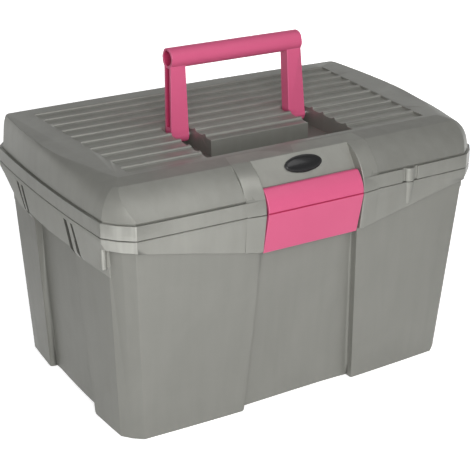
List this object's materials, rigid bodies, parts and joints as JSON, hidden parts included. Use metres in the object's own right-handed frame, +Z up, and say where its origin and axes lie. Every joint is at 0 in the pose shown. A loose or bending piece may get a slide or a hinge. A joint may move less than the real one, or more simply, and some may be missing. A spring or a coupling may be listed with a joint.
{
  "type": "horse grooming box",
  "caption": "Moulded plastic grooming box with a ribbed, domed lid hinged at the back, a fold-down carrying handle, a front latch flap, side hand grips and a lift-out insert.",
  "frame": {"origin": "middle of the base, on the surface that the box stands on", "axes": "+X to the right seen from the front, +Y to the hinged back, +Z up"},
  "size_m": [0.4, 0.283, 0.3186],
  "materials": {
    "grey_plastic": "satin moulded polypropylene",
    "pink_plastic": "satin moulded polypropylene",
    "black_plastic": "glossy",
    "pin_steel": "drawn wire"
  },
  "bodies": {
    "box": {"body_shell": "grey_plastic", "hinge_pin_left": "pin_steel", "hinge_pin_right": "pin_steel"},
    "lid": {"lid_shell": "grey_plastic", "handle_pin_left": "pin_steel", "handle_pin_right": "pin_steel", "latch_pin": "pin_steel", "badge_plate": "black_plastic", "badge_dome": "black_plastic"},
    "handle": {"handle": "pink_plastic"},
    "latch": {"latch_flap": "pink_plastic"},
    "insert": {"insert_tray": "grey_plastic"},
    "divider_left": {"tray_divider_left": "grey_plastic"},
    "divider_right": {"tray_divider_right": "grey_plastic"}
  },
  "joints": [
    {"name": "lid_hinge", "type": "hinge", "parent": "box", "child": "lid", "pos_m": [0, 0.1383, 0.2012], "axis": [-1, 0, 0], "range_deg": [0, 105]},
    {"name": "handle_fold", "type": "hinge", "parent": "lid", "child": "handle", "pos_m": [0, -0.0045, 0.2368], "axis": [1, 0, 0], "range_deg": [0, 94]},
    {"name": "latch_swing", "type": "hinge", "parent": "lid", "child": "latch", "pos_m": [0, -0.1295, 0.2175], "axis": [-1, 0, 0], "range_deg": [0, 100]},
    {"name": "insert_lift", "type": "slide", "parent": "box", "child": "insert", "axis": [0, 0, 1], "range_m": [0, 0.012]},
    {"name": "divider_left_lift", "type": "slide", "parent": "insert", "child": "divider_left", "axis": [0, 0, 1], "range_m": [0, 0.012]},
    {"name": "divider_right_lift", "type": "slide", "parent": "insert", "child": "divider_right", "axis": [0, 0, 1], "range_m": [0, 0.012]}
  ]
}
